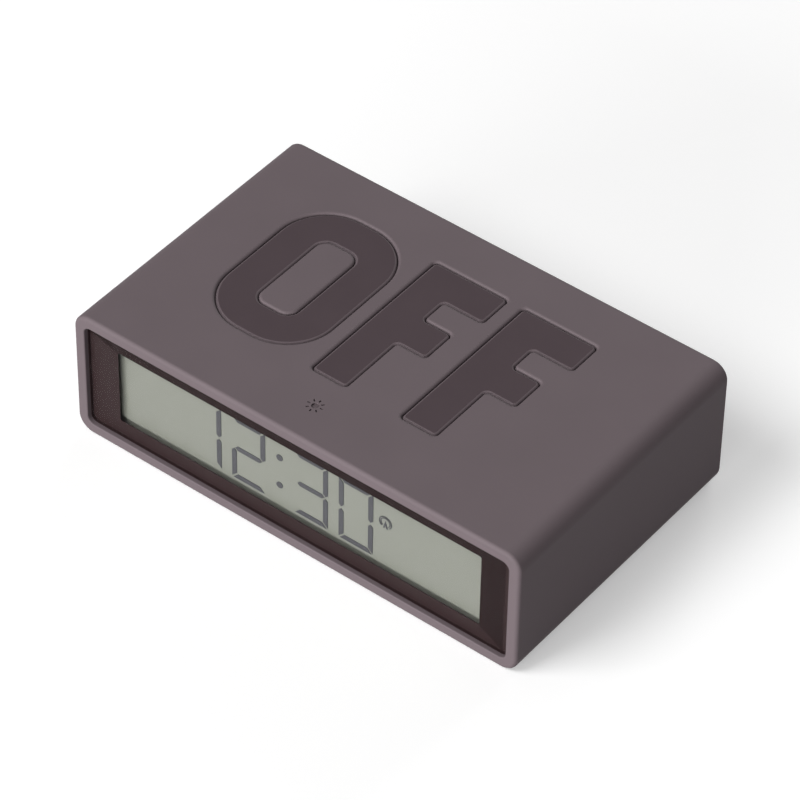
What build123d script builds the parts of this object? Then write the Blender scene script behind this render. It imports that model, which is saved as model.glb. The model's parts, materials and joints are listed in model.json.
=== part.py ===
from build123d import *
import math
import os

# A reversible desk alarm clock. Millimetres, +Z up, display facing -Y.
# The origin is on the surface that the clock stands on, under the middle of the case.

# Battery cells, whose two rows set the height of the case
CELL_D = 10.5
CELL_L = 44.5
CELL_PLAY = 0.25
CELL_EDGE = 0.6
NUB_D = 3.8
NUB_L = 0.8

# Outer sleeve
WIDTH = 105.0
DEPTH = 65.0
WALL = 2.5
EDGE_RADIUS = 3.6
RIM_RADIUS = 0.8
CAVITY_RADIUS = 1.6
MOUTH_RADIUS = 0.25
RIB_HEIGHT = 1.2
RIB_T = 1.5

# Switch legends, cut into the upper and lower faces
LETTER_H = 38.0
LETTER_STROKE = 8.3
LETTER_GAP = 3.4
LETTER_CORNER = 0.95
O_WIDTH = 25.5
o_corner_share = 0.43
F_WIDTH = 17.5
F_ARM_SHORT = 2.5
F_ARM_GAP = 6.0
n_slant_share = 0.393
LEGEND_X = -3.3
LEGEND_Y = 2.4
POCKET_DEPTH = 1.3
POCKET_EDGE = 0.65
INLAY_DROP = 0.15
INLAY_GAP = 0.12
INLAY_EDGE = 0.65

# Small lamp sign, cut near the front edge of both faces
SIGN_SETBACK = 8.5
SIGN_X = -1.0
SIGN_DEPTH = 0.3
SUN_R = 0.75
RAY_COUNT = 8
RAY_W = 0.3
RAY_L = 0.7
RAY_GAP = 0.35

# Lens and the dark print on its back and edges
LENS_RECESS = 0.75
LENS_T = 0.7
LENS_GAP = 0.25
LENS_EDGE = 0.15
MASK_T = 0.1
MASK_SIDE = 6.85
MASK_EDGE = 3.4
WINDOW_RADIUS = 0.4

# Frame pieces that slide into the sleeve
SLIDE_GAP = 0.2
BEZEL_WALL = 1.2
BEZEL_MARGIN = 1.6
TUNNEL_DEPTH = 0.4
PANEL_PLAY = 0.2
SCREW_LEDGE = 3.4
CHASSIS_WALL = 1.2
FLANGE_T = 2.0
FLANGE_SIDE = 7.0
FLANGE_EDGE = 3.6

# Liquid crystal panel
POLARISER_T = 0.2
POLARISER_MARGIN = 0.4
GLASS_T = 0.5
LEDGE = 1.5
CELL_GAP = 0.1
SEAL_W = 0.5

# Lit segments of the display
figures_shown = ("one", "two", "three", "zero")
time_share = -0.0565
DIGIT_PITCH = 10.6
COLON_PITCH = 14.9
DIGIT_W = 8.0
DIGIT_MARGIN = 0.85
DIGIT_DROP = 0.25
STROKE = 1.1
STROKE_GAP = 0.28
COLON_R = 0.75
COLON_SPACING = 7.1
RADIO_GAP = 2.9
RADIO_RISE = 2.2
RADIO_R = 1.5
RADIO_STROKE = 0.18
RADIO_MOUTH = 75.0
MAST_TOP = 0.4
MAST_FOOT = 1.1
MAST_LEG = 0.32

# Backlight and the main board behind the panel
GUIDE_T = 2.0
REFLECTOR_T = 0.2
LED_W = 1.6
LED_H = 3.0
LED_DEPTH = 1.4
LED_GAP = 0.2
ZEBRA_PLAY = 0.1
BOARD_T = 1.2
chip_share = -0.062
CHIP_DROP = 2.0
CHIP_R = 5.0
CHIP_H = 1.5
CHIP_EDGE = 1.2
crystal_share = -0.207
CRYSTAL_RISE = 5.0
CRYSTAL_R = 1.0
CRYSTAL_L = 6.0
SEAT_GAP = 0.05

# Tilt switch on the main board
tilt_share = 0.351
TILT_R = 2.6
TILT_L = 9.0
TILT_WALL = 0.5
PLUG_FLANGE_T = 1.0
PLUG_SPIGOT_L = 1.0
BALL_GAP = 0.25
BALL_END_GAP = 0.1

# Radio antenna
ANTENNA_SETBACK = 14.0
ANTENNA_R = 4.0
COIL_R = 5.2
coil_length_share = 0.3
coil_place_share = -0.233
CRADLE_T = 2.0
CRADLE_INSET = 4.0
CRADLE_GAP = 2.0
CRADLE_WALL = 1.6
CRADLE_RISE = 1.0

# Touch electrodes beside the lamp signs
TOUCH_W = 12.0
TOUCH_L = 6.0
TOUCH_T = 0.3
TOUCH_DROP = 3.0

# Screws
SCREW_GAP = 0.05
FRAME_HEAD_R = 1.3
FRAME_HEAD_T = 0.9
FRAME_SHANK_R = 0.7
FRAME_BITE = 3.2
FRAME_INSET = 2.4
PANEL_HEAD_R = 1.7
PANEL_HEAD_T = 0.9
PANEL_SHANK_R = 0.95
PANEL_BITE = 6.0
PANEL_HEAD_DEPTH = 1.1
HEAD_GAP = 0.2
BOSS_WALL = 1.3
BOSS_L = 8.0
PILOT_SPARE = 0.5
KEY_HEAD_R = 1.1
KEY_HEAD_T = 0.7
KEY_SHANK_R = 0.55
KEY_BITE = 1.5
POST_WALL = 0.6
CROSS_W = 0.35
CROSS_DEPTH = 0.4
cross_length_share = 0.6

# Battery well and its contacts
WELL_WALL = 1.2
DOOR_CLEARANCE = 1.0
CONTACT_T = 0.4
CONTACT_H = 8.0
LEAF_REACH = 3.0
LEAF_W = 4.0
LEAF_SPAN = 7.0
TAB_W = 2.4
TAB_L = 3.0
TAB_GAP = 0.1
LEAD_R = 0.6
LEAD_GAP = 1.4
LEAD_RISE = 5.2
lead_run_shares = (0.0, 0.24, 0.5, 0.76, 1.0)
lead_shift_shares = (0.0, 0.0, 0.55, 1.0, 1.0)

# Rear panel and battery door
PANEL_RECESS = 0.85
PANEL_T = 2.0
DOOR_LAP = 1.0
DOOR_GAP = 0.2
DOOR_REST = 0.3
DOOR_SIDE = 0.2
PIN_R = 0.5
PIN_REACH = 0.7
PIN_GAP = 0.1
TONGUE_W = 9.0
TONGUE_L = 7.0
TONGUE_SLOT = 0.6
GRIP_COUNT = 4
GRIP_PITCH = 1.5
GRIP_W = 0.6
GRIP_H = 0.35

# Setting keys and their board
key_radius_share = 0.081
key_rise_share = 0.236
KEY_PROUD = 0.6
KEY_EDGE = 0.3
KEY_GAP = 0.25
KEY_FLANGE_W = 0.6
KEY_FLANGE_T = 0.8
key_stem_share = 0.5
KEY_STEM_L = 0.6
KEY_TRAVEL = 0.6
KEY_PLAY = 0.1
key_sign_share = 0.417
key_sign_stroke_share = 0.28
KEY_SIGN_DEPTH = 0.2
key_column_shares = (0.18, 0.47)
DOME_R = 2.2
DOME_H = 0.4
DOME_EDGE = 0.35
KEY_BOARD_T = 1.0
key_board_margin_share = 0.0378
KEY_BOARD_EDGE = 0.6
POST_INSET = 1.6

# Ribbon between the two boards
RIBBON_W = 8.0
RIBBON_T = 0.3
RIBBON_DROP = 6.5
RIBBON_LIFT = 2.2
PLUG_MARGIN = 1.0
PLUG_H = 3.0
PLUG_DEPTH = 2.5
ribbon_run_shares = (0.0, 0.28, 0.72, 1.0)
ribbon_shift_shares = (0.0, 0.0, 1.0, 1.0)

# Buzzer on the rear panel
buzzer_share = 0.82
buzzer_radius_share = 0.135
BUZZER_T = 0.3
buzzer_shelf_share = 0.16
BUZZER_STANDOFF = 2.4
BUZZER_LIP = 0.5
BUZZER_PLAY = 0.1
ceramic_share = 0.68
CERAMIC_T = 0.25
sound_hole_share = 0.12
sound_ring_share = 0.48
SOUND_HOLE_COUNT = 6

# Bends and cuts. A hair is the overlap of joined pieces and the width within which edges are picked.
BEND_SHARE = 0.45
OVERRUN = 1.0
HAIR = 0.01
LEAST_CORNER_TURN = 1.0

# Sizes that follow from the ones above
FRAME_H = 2 * (CELL_D + 2 * CELL_PLAY) + 2 * CHASSIS_WALL
CAVITY_H = FRAME_H + 2 * SLIDE_GAP
HEIGHT = CAVITY_H + 2 * WALL
MID_Z = HEIGHT / 2
CAVITY_W = WIDTH - 2 * WALL
FRAME_W = CAVITY_W - 2 * SLIDE_GAP
FRAME_RADIUS = CAVITY_RADIUS - SLIDE_GAP
BAY_W = FRAME_W - 2 * CHASSIS_WALL
BAY_H = FRAME_H - 2 * CHASSIS_WALL
FRONT = -DEPTH / 2
REAR = DEPTH / 2
LENS_W = CAVITY_W - 2 * LENS_GAP
LENS_H = CAVITY_H - 2 * LENS_GAP
LENS_RADIUS = CAVITY_RADIUS - LENS_GAP
WINDOW_W = LENS_W - 2 * MASK_SIDE
WINDOW_H = LENS_H - 2 * MASK_EDGE
BOARD_W = FRAME_W - 2 * BEZEL_WALL - 2 * PANEL_PLAY
BOARD_H = FRAME_H - 2 * BEZEL_WALL - 2 * PANEL_PLAY
LCD_W = BOARD_W - 2 * SCREW_LEDGE
LCD_H = BOARD_H
REAR_GLASS_H = LCD_H - LEDGE
GUIDE_W = LCD_W - 2 * (LED_W + LED_GAP)
O_CORNER = o_corner_share * O_WIDTH
N_WIDTH = O_WIDTH
N_SLANT = n_slant_share * N_WIDTH

# Depths, front to rear
LENS_FRONT = FRONT + LENS_RECESS
MASK_FRONT = LENS_FRONT + LENS_T
BEZEL_FRONT = MASK_FRONT + MASK_T
LCD_FRONT = BEZEL_FRONT + TUNNEL_DEPTH
GLASS_FRONT = LCD_FRONT + POLARISER_T
SEGMENT_FRONT = GLASS_FRONT + GLASS_T
REAR_GLASS_FRONT = SEGMENT_FRONT + CELL_GAP
REAR_FILM_FRONT = REAR_GLASS_FRONT + GLASS_T
GUIDE_FRONT = REAR_FILM_FRONT + POLARISER_T
REFLECTOR_FRONT = GUIDE_FRONT + GUIDE_T
BOARD_FRONT = REFLECTOR_FRONT + REFLECTOR_T
BOARD_BACK = BOARD_FRONT + BOARD_T
FLANGE_BACK = BOARD_BACK + FLANGE_T
PANEL_BACK = REAR - PANEL_RECESS
PANEL_FRONT = PANEL_BACK - PANEL_T
RIB_FRONT = PANEL_FRONT - RIB_T
CELL_Y = PANEL_FRONT - DOOR_CLEARANCE - CELL_D / 2
WELL_FLOOR = CELL_Y - CELL_D / 2 - CELL_PLAY
WELL_FRONT = WELL_FLOOR - WELL_WALL
TAB_END = WELL_FRONT - TAB_L
ANTENNA_Y = BOARD_BACK + ANTENNA_SETBACK
KEY_FLANGE_BACK = PANEL_FRONT - KEY_PLAY
KEY_FLANGE_FRONT = KEY_FLANGE_BACK - KEY_FLANGE_T
KEY_STEM_END = KEY_FLANGE_FRONT - KEY_STEM_L
DOME_BACK = KEY_STEM_END - KEY_TRAVEL - KEY_PLAY
KEY_BOARD_BACK = DOME_BACK - DOME_H
KEY_BOARD_FRONT = KEY_BOARD_BACK - KEY_BOARD_T

# Places across the case
CELL_RISE = BAY_H / 4
FRAME_SCREW_X = BOARD_W / 2 - SCREW_LEDGE / 2
FRAME_SCREW_RISE = BOARD_H / 2 - FRAME_INSET
BOSS_R = PANEL_SHANK_R + SCREW_GAP + BOSS_WALL
PANEL_SCREW_X = BAY_W / 2 - BOSS_R
PANEL_SCREW_RISE = BAY_H / 2 - BOSS_R
WELL_LEFT = -PANEL_SCREW_X + BOSS_R + WELL_WALL
WELL_RIGHT = WELL_LEFT + 2 * CONTACT_T + LEAF_REACH + CELL_L + CELL_PLAY
DOOR_LEFT = WELL_LEFT - DOOR_LAP
DOOR_RIGHT = WELL_RIGHT + DOOR_LAP
DOOR_H = BAY_H - 2 * DOOR_SIDE
HINGE_X = DOOR_LEFT + DOOR_GAP + PANEL_T / 2
HINGE_Y = PANEL_FRONT + PANEL_T / 2
KEY_ZONE_LEFT = WELL_RIGHT + WELL_WALL
KEY_ZONE_W = PANEL_SCREW_X - BOSS_R - KEY_ZONE_LEFT
KEY_R = key_radius_share * KEY_ZONE_W
KEY_RISE = key_rise_share * BAY_H
KEY_STEM_R = key_stem_share * KEY_R
KEY_SIGN_R = key_sign_share * KEY_R
KEY_SIGN_W = key_sign_stroke_share * KEY_SIGN_R
KEY_BOARD_MARGIN = key_board_margin_share * KEY_ZONE_W
KEY_COLUMNS = tuple(KEY_ZONE_LEFT + share * KEY_ZONE_W for share in key_column_shares)
KEY_BOARD_X = sum(KEY_COLUMNS) / len(KEY_COLUMNS)
KEY_BOARD_W = KEY_COLUMNS[-1] - KEY_COLUMNS[0] + 2 * (KEY_R + KEY_FLANGE_W + KEY_BOARD_MARGIN)
KEY_BOARD_H = BAY_H - 2 * KEY_BOARD_EDGE
POST_R = KEY_SHANK_R + SCREW_GAP + POST_WALL
POST_REACH = KEY_BOARD_W / 2 - POST_INSET - POST_R
BUZZER_X = KEY_ZONE_LEFT + buzzer_share * KEY_ZONE_W
BUZZER_R = buzzer_radius_share * KEY_ZONE_W
BUZZER_SHELF = buzzer_shelf_share * BUZZER_R
CERAMIC_R = ceramic_share * BUZZER_R
SOUND_HOLE_R = sound_hole_share * BUZZER_R
SOUND_RING_R = sound_ring_share * BUZZER_R
LEAD_X = KEY_BOARD_X - RIBBON_W / 2 - PLUG_MARGIN - LEAD_GAP - LEAD_R
CHIP_X = chip_share * BOARD_W
CRYSTAL_X = crystal_share * BOARD_W
TILT_X = tilt_share * BOARD_W
CRADLE_X = KEY_BOARD_X + RIBBON_W / 2 + CRADLE_GAP + CRADLE_T / 2
ANTENNA_L = 2 * (CRADLE_X + CRADLE_INSET)
COIL_L = coil_length_share * ANTENNA_L
COIL_X = coil_place_share * ANTENNA_L
SIGN_Y = FRONT + SIGN_SETBACK
DIGIT_H = WINDOW_H - 2 * DIGIT_MARGIN
TIME_X = time_share * WINDOW_W
RADIO_X = TIME_X + COLON_PITCH / 2 + DIGIT_PITCH + DIGIT_W / 2 + RADIO_GAP

CORNERS = ((-1, -1), (1, -1), (1, 1), (-1, 1))

# Segments that each figure lights, lettered clockwise from the top, with g in the middle
LIT_SEGMENTS = {"zero": "abcdef", "one": "bc", "two": "abged", "three": "abgcd"}


def face_plane(y):
    """A plane across the case at depth y. Its x is X, and its y is the rise above mid-height."""
    return Plane(origin=(0, y, MID_Z), x_dir=(1, 0, 0), z_dir=(0, -1, 0))


def plate(sketch, start, end):
    """A sketch drawn across the case, made solid from one depth to another."""
    return extrude(face_plane(start) * sketch, amount=start - end)


def block(x_range, y_range, rise_range):
    """A box from ranges of x, y and rise above mid-height."""
    middles = [sum(pair) / len(pair) for pair in (x_range, y_range, rise_range)]
    spans = [pair[-1] - pair[0] for pair in (x_range, y_range, rise_range)]
    return Pos(middles[0], middles[1], MID_Z + middles[2]) * Box(*spans)


def bar_x(radius, left, right, y, rise):
    """A round bar along X."""
    end = Plane(origin=(left, y, MID_Z + rise), x_dir=(0, 1, 0), z_dir=(1, 0, 0))
    return extrude(end * Circle(radius), amount=right - left)


def bar_z(radius, x, y, low, high):
    """A round bar along Z, between two rises above mid-height."""
    return extrude(Pos(x, y, MID_Z + low) * Circle(radius), amount=high - low)


def turned_over(shape):
    """The shape turned upside down with its front still facing front."""
    return Plane(origin=(0, 0, HEIGHT), x_dir=(-1, 0, 0), z_dir=(0, 0, -1)) * shape


def letter_o():
    """A heavy upright ring."""
    counter_w = O_WIDTH - 2 * LETTER_STROKE
    counter_h = LETTER_H - 2 * LETTER_STROKE
    counter = RectangleRounded(counter_w, counter_h, O_CORNER - LETTER_STROKE)
    return RectangleRounded(O_WIDTH, LETTER_H, O_CORNER) - counter


def letter_f():
    """A stem with a full arm at the top and a shorter one under it."""
    left = -F_WIDTH / 2
    top = LETTER_H / 2
    short_w = F_WIDTH - F_ARM_SHORT
    arm_y = top - LETTER_STROKE / 2
    lower_arm_y = arm_y - LETTER_STROKE - F_ARM_GAP
    stem = Pos(left + LETTER_STROKE / 2, 0) * Rectangle(LETTER_STROKE, LETTER_H)
    arm = Pos(0, arm_y) * Rectangle(F_WIDTH, LETTER_STROKE)
    lower_arm = Pos(left + short_w / 2, lower_arm_y) * Rectangle(short_w, LETTER_STROKE)
    return stem + arm + lower_arm


def letter_n():
    """Two stems and a slanted stroke between their far ends."""
    left = -N_WIDTH / 2
    top = LETTER_H / 2
    stem = Rectangle(LETTER_STROKE, LETTER_H)
    stem_x = N_WIDTH / 2 - LETTER_STROKE / 2
    slant = Polyline((left, top), (left + N_SLANT, top), (-left, -top), (-left - N_SLANT, -top), close=True)
    return Pos(-stem_x, 0) * stem + Pos(stem_x, 0) * stem + make_face(slant)


def eased(letter):
    """The letter with its corners slightly rounded, if it has corners."""
    corners = [v for v in letter.vertices() if corner_turn(letter, v) > LEAST_CORNER_TURN]
    return fillet(corners, LETTER_CORNER) if corners else letter


def corner_turn(sketch, vertex):
    """The angle, in degrees, by which an outline turns at one of its vertices."""
    meeting = [e for e in sketch.edges() if (e @ 0 - vertex.center()).length < HAIR]
    leaving = [e for e in sketch.edges() if (e @ 1 - vertex.center()).length < HAIR]
    if not meeting or not leaving:
        return 180
    return (leaving[0] % 1).get_angle(meeting[0] % 0)


def legend(letters, widths):
    """A row of letters, each moved to its place on the upper face."""
    x = LEGEND_X - (sum(widths) + LETTER_GAP * len(widths[1:])) / 2
    row = []
    for letter, width in zip(letters, widths):
        row.append(Pos(x + width / 2, LEGEND_Y) * letter)
        x += width + LETTER_GAP
    return row


def off_legend():
    return legend((letter_o(), letter_f(), letter_f()), (O_WIDTH, F_WIDTH, F_WIDTH))


def on_legend():
    return legend((letter_o(), letter_n()), (O_WIDTH, N_WIDTH))


def pocket(letter):
    """The cut that takes one letter's inlay, from the upper face down."""
    return extrude(Pos(0, 0, HEIGHT) * eased(letter), amount=-POCKET_DEPTH)


def inlay(letter):
    """One letter's inlay, seated on its pocket's floor and standing just under the face."""
    outline = eased(offset(letter, amount=-INLAY_GAP, kind=Kind.INTERSECTION))
    body = extrude(Pos(0, 0, HEIGHT - POCKET_DEPTH) * outline, amount=POCKET_DEPTH - INLAY_DROP)
    return fillet(body.faces().sort_by(Axis.Z)[-1].edges(), INLAY_EDGE)


def lamp_sign():
    """A small sun, cut into the upper face."""
    sign = Circle(SUN_R)
    ray_middle = SUN_R + RAY_GAP + RAY_L / 2
    for ray in PolarLocations(ray_middle, RAY_COUNT):
        sign += ray * RectangleRounded(RAY_L, RAY_W, RAY_W / 3)
    return extrude(Pos(SIGN_X, SIGN_Y, HEIGHT) * sign, amount=-SIGN_DEPTH)


def with_pocket(shell, cut, level):
    """The sleeve with one legend pocket cut into a face, and the pocket's rim rounded."""
    shell -= cut
    box = cut.bounding_box()
    rim = shell.edges().filter_by_position(Axis.Z, level - HAIR, level + HAIR)
    rim = rim.filter_by_position(Axis.X, box.min.X - HAIR, box.max.X + HAIR)
    rim = rim.filter_by_position(Axis.Y, box.min.Y - HAIR, box.max.Y + HAIR)
    return fillet(rim, POCKET_EDGE)


def outer_sleeve():
    """The soft-edged tube that is top, bottom and sides in one piece."""
    shell = Pos(0, 0, MID_Z) * Box(WIDTH, DEPTH, HEIGHT)
    shell = fillet(shell.edges().filter_by(Axis.Y), EDGE_RADIUS)
    ends = shell.faces().sort_by(Axis.Y)
    shell = fillet(ends[0].edges() + ends[-1].edges(), RIM_RADIUS)
    shell -= plate(RectangleRounded(CAVITY_W, CAVITY_H, CAVITY_RADIUS), FRONT - OVERRUN, REAR + OVERRUN)
    ends = shell.faces().sort_by(Axis.Y)
    mouths = ends[0].inner_wires()[0].edges() + ends[-1].inner_wires()[0].edges()
    shell = fillet(mouths, MOUTH_RADIUS)
    rib = RectangleRounded(CAVITY_W + WALL, CAVITY_H + WALL, CAVITY_RADIUS)
    rib -= Rectangle(CAVITY_W - 2 * RIB_HEIGHT, CAVITY_H - 2 * RIB_HEIGHT)
    shell += plate(rib, RIB_FRONT, PANEL_FRONT)
    for letter in off_legend():
        shell = with_pocket(shell, pocket(letter), HEIGHT)
    for letter in on_legend():
        shell = with_pocket(shell, turned_over(pocket(letter)), 0)
    sign = lamp_sign()
    return shell - sign - turned_over(sign)


def front_lens():
    """The clear front window, set back in the mouth of the sleeve."""
    lens = plate(RectangleRounded(LENS_W, LENS_H, LENS_RADIUS), LENS_FRONT, MASK_FRONT)
    return chamfer(lens.faces().sort_by(Axis.Y)[0].edges(), LENS_EDGE)


def lens_mask():
    """The dark print on the border of the lens, on its back and round its edges."""
    border = RectangleRounded(LENS_W + 2 * MASK_T, LENS_H + 2 * MASK_T, LENS_RADIUS + MASK_T)
    back = plate(border - RectangleRounded(WINDOW_W, WINDOW_H, WINDOW_RADIUS), MASK_FRONT, BEZEL_FRONT)
    edge = plate(border - RectangleRounded(LENS_W, LENS_H, LENS_RADIUS), LENS_FRONT + LENS_EDGE, BEZEL_FRONT)
    return back + edge


def frame_screw_places():
    return [(sx * FRAME_SCREW_X, sz * FRAME_SCREW_RISE) for sx, sz in CORNERS]


def display_bezel():
    """The dark frame that holds the panel behind the lens. The mask hides the edges of its opening."""
    frame = plate(RectangleRounded(FRAME_W, FRAME_H, FRAME_RADIUS), BEZEL_FRONT, BOARD_BACK)
    opening = RectangleRounded(WINDOW_W + 2 * BEZEL_MARGIN, WINDOW_H + 2 * BEZEL_MARGIN, WINDOW_RADIUS)
    frame -= plate(opening, BEZEL_FRONT - OVERRUN, LCD_FRONT + HAIR)
    panel_seat = Rectangle(LCD_W + 2 * PANEL_PLAY, LCD_H + 2 * PANEL_PLAY)
    frame -= plate(panel_seat, LCD_FRONT, BOARD_FRONT + HAIR)
    board_seat = Rectangle(BOARD_W + 2 * PANEL_PLAY, BOARD_H + 2 * PANEL_PLAY)
    frame -= plate(board_seat, BOARD_FRONT, BOARD_BACK + OVERRUN)
    pilot = Circle(FRAME_SHANK_R + SCREW_GAP)
    for place in frame_screw_places():
        frame -= plate(Pos(*place) * pilot, BOARD_FRONT - FRAME_BITE - PILOT_SPARE, BOARD_FRONT + OVERRUN)
    return frame


def panel_sheet(margin, start, thickness):
    """A sheet of the panel's rear outline, which leaves the front glass a contact ledge above it."""
    outline = Rectangle(LCD_W - 2 * margin, REAR_GLASS_H - 2 * margin)
    return plate(Pos(0, -LEDGE / 2) * outline, start, start + thickness)


def lcd_front_glass():
    return plate(Rectangle(LCD_W, LCD_H), GLASS_FRONT, SEGMENT_FRONT)


def lcd_seal():
    """The glue line that holds the two glasses apart."""
    line = Rectangle(LCD_W, REAR_GLASS_H) - Rectangle(LCD_W - 2 * SEAL_W, REAR_GLASS_H - 2 * SEAL_W)
    return plate(Pos(0, -LEDGE / 2) * line, SEGMENT_FRONT, REAR_GLASS_FRONT)


def segment_outlines():
    """Points of the seven segments of one figure, by letter."""
    x = DIGIT_W / 2
    z = DIGIT_H / 2
    s = STROKE
    g = STROKE_GAP
    tip = s / 2
    top = [(-x + g, z), (x - g, z), (x - g - s, z - s), (-x + g + s, z - s)]
    upper = [(x, z - g), (x, tip + g), (x - tip, g), (x - s, tip + g), (x - s, z - g - s)]
    middle = [(-x + tip + g, 0), (-x + s + g, tip), (x - s - g, tip)]
    middle += [(-px, -pz) for px, pz in middle]
    return {
        "a": top,
        "b": upper,
        "c": [(px, -pz) for px, pz in upper],
        "d": [(px, -pz) for px, pz in top],
        "e": [(-px, -pz) for px, pz in upper],
        "f": [(-px, pz) for px, pz in upper],
        "g": middle,
    }


def radio_sign():
    """A mast on two legs, with two rings of waves that are open below."""
    gap_share = math.tan(math.radians(RADIO_MOUTH / 2))
    reach = RADIO_R + OVERRUN
    mouth = make_face(Polyline((0, 0), (-reach * gap_share, -reach), (reach * gap_share, -reach), close=True))
    inner_r = RADIO_R - 2 * RADIO_STROKE
    rings = Circle(RADIO_R) - Circle(RADIO_R - RADIO_STROKE)
    rings += Circle(inner_r) - Circle(inner_r - RADIO_STROKE)
    rings -= mouth
    foot = MAST_FOOT / 2
    fork = MAST_TOP - (MAST_TOP + RADIO_R) * MAST_LEG / foot
    outer = [(foot, -RADIO_R), (0, MAST_TOP), (-foot, -RADIO_R)]
    inner = [(MAST_LEG - foot, -RADIO_R), (0, fork), (foot - MAST_LEG, -RADIO_R)]
    mast = make_face(Polyline(*outer, *inner, close=True))
    return rings.faces() + [mast.face()]


def lit_outlines():
    """Every lit mark of the display, as flat faces across the case."""
    outlines = segment_outlines()
    half = COLON_PITCH / 2
    places = (TIME_X - half - DIGIT_PITCH, TIME_X - half, TIME_X + half, TIME_X + half + DIGIT_PITCH)
    faces = []
    for figure, x in zip(figures_shown, places):
        for letter in LIT_SEGMENTS[figure]:
            faces.append(Pos(x, -DIGIT_DROP) * make_face(Polyline(*outlines[letter], close=True)))
    for side in (-1, 1):
        faces.append(Pos(TIME_X, side * COLON_SPACING / 2) * Circle(COLON_R))
    faces += [Pos(RADIO_X, RADIO_RISE) * face for face in radio_sign()]
    return faces


def lcd_segments():
    """The lit marks, each a thin film between the two glasses."""
    return Compound(children=[plate(face, SEGMENT_FRONT, REAR_GLASS_FRONT) for face in lit_outlines()])


def light_guide_sheet(start, thickness):
    outline = Rectangle(GUIDE_W, REAR_GLASS_H)
    return plate(Pos(0, -LEDGE / 2) * outline, start, start + thickness)


def zebra_strip():
    """The rubber strip that joins the glass's ledge to the board."""
    strip = Rectangle(GUIDE_W, LEDGE - 2 * ZEBRA_PLAY)
    return plate(Pos(0, LCD_H / 2 - LEDGE / 2) * strip, SEGMENT_FRONT, BOARD_FRONT)


def backlight_leds():
    """A lamp on the board at each end of the light guide."""
    x = GUIDE_W / 2 + LED_GAP + LED_W / 2
    lamp = RectangleRounded(LED_W, LED_H, LED_GAP)
    return Compound(children=[
        plate(Pos(side * x, -LEDGE / 2) * lamp, BOARD_FRONT - LED_DEPTH, BOARD_FRONT) for side in (-1, 1)
    ])


def main_board():
    board = Rectangle(BOARD_W, BOARD_H)
    for place in frame_screw_places():
        board -= Pos(*place) * Circle(FRAME_SHANK_R + SCREW_GAP)
    return plate(board, BOARD_FRONT, BOARD_BACK)


def controller_chip():
    """The round drop of resin over the controller."""
    drop = plate(Pos(CHIP_X, -CHIP_DROP) * Circle(CHIP_R), BOARD_BACK, BOARD_BACK + CHIP_H)
    return fillet(drop.faces().sort_by(Axis.Y)[-1].edges(), CHIP_EDGE)


def quartz_crystal():
    y = BOARD_BACK + CRYSTAL_R + SEAT_GAP
    can = bar_x(CRYSTAL_R, CRYSTAL_X - CRYSTAL_L / 2, CRYSTAL_X + CRYSTAL_L / 2, y, CRYSTAL_RISE)
    return fillet(can.faces().sort_by(Axis.X)[-1].edges(), CRYSTAL_R / 2)


TILT_Y = BOARD_BACK + TILT_R + SEAT_GAP
TILT_BORE_R = TILT_R - TILT_WALL
TILT_LOW = -TILT_L / 2 + PLUG_FLANGE_T + PLUG_SPIGOT_L
TILT_HIGH = TILT_L / 2 - TILT_WALL
BALL_R = TILT_BORE_R - BALL_GAP
BALL_TRAVEL = TILT_HIGH - TILT_LOW - 2 * (BALL_R + BALL_END_GAP)


def tilt_switch_can():
    """The upright can whose ball tells which face of the clock is up."""
    foot = -TILT_L / 2 + PLUG_FLANGE_T
    can = bar_z(TILT_R, TILT_X, TILT_Y, foot, TILT_L / 2)
    return can - bar_z(TILT_BORE_R, TILT_X, TILT_Y, foot - OVERRUN, TILT_HIGH)


def tilt_switch_plug():
    """The plug that closes the can from below."""
    foot = -TILT_L / 2
    flange = bar_z(TILT_R, TILT_X, TILT_Y, foot, foot + PLUG_FLANGE_T)
    return flange + bar_z(TILT_BORE_R - SEAT_GAP, TILT_X, TILT_Y, foot, TILT_LOW)


def tilt_ball():
    """The loose ball, at rest on the plug."""
    return Pos(TILT_X, TILT_Y, MID_Z + TILT_LOW + BALL_END_GAP + BALL_R) * Sphere(BALL_R)


def antenna_rod():
    return bar_x(ANTENNA_R, -ANTENNA_L / 2, ANTENNA_L / 2, ANTENNA_Y, 0)


def antenna_coil():
    """The winding round the rod."""
    left = COIL_X - COIL_L / 2
    right = COIL_X + COIL_L / 2
    core = bar_x(ANTENNA_R + SEAT_GAP, left - OVERRUN, right + OVERRUN, ANTENNA_Y, 0)
    return bar_x(COIL_R, left, right, ANTENNA_Y, 0) - core


def touch_electrode(spare):
    """A bent foil: one leg lies on the chassis, the other reaches down to the board."""
    x_range = (SIGN_X - TOUCH_W / 2 - spare, SIGN_X + TOUCH_W / 2 + spare)
    top = FRAME_H / 2
    upper = block(x_range, (BOARD_BACK, BOARD_BACK + TOUCH_L + spare), (top - TOUCH_T, top))
    return upper + block(x_range, (BOARD_BACK, BOARD_BACK + TOUCH_T), (top - TOUCH_DROP - spare, top))


def panel_screw_places():
    return [(sx * PANEL_SCREW_X, sz * PANEL_SCREW_RISE) for sx, sz in CORNERS]


def antenna_cradle(side):
    """A rib on the chassis floor with a round notch that the rod lies in."""
    x = side * CRADLE_X
    x_range = (x - CRADLE_T / 2, x + CRADLE_T / 2)
    reach = ANTENNA_R + SEAT_GAP
    half = reach + CRADLE_WALL
    rib = block(x_range, (ANTENNA_Y - half, ANTENNA_Y + half), (-BAY_H / 2 - CHASSIS_WALL / 2, CRADLE_RISE))
    slot = (ANTENNA_Y - reach, ANTENNA_Y + reach)
    cut_range = (x_range[0] - OVERRUN, x_range[1] + OVERRUN)
    rib -= block(cut_range, slot, (0, CRADLE_RISE + OVERRUN))
    return rib - bar_x(reach, cut_range[0], cut_range[1], ANTENNA_Y, 0)


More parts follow.
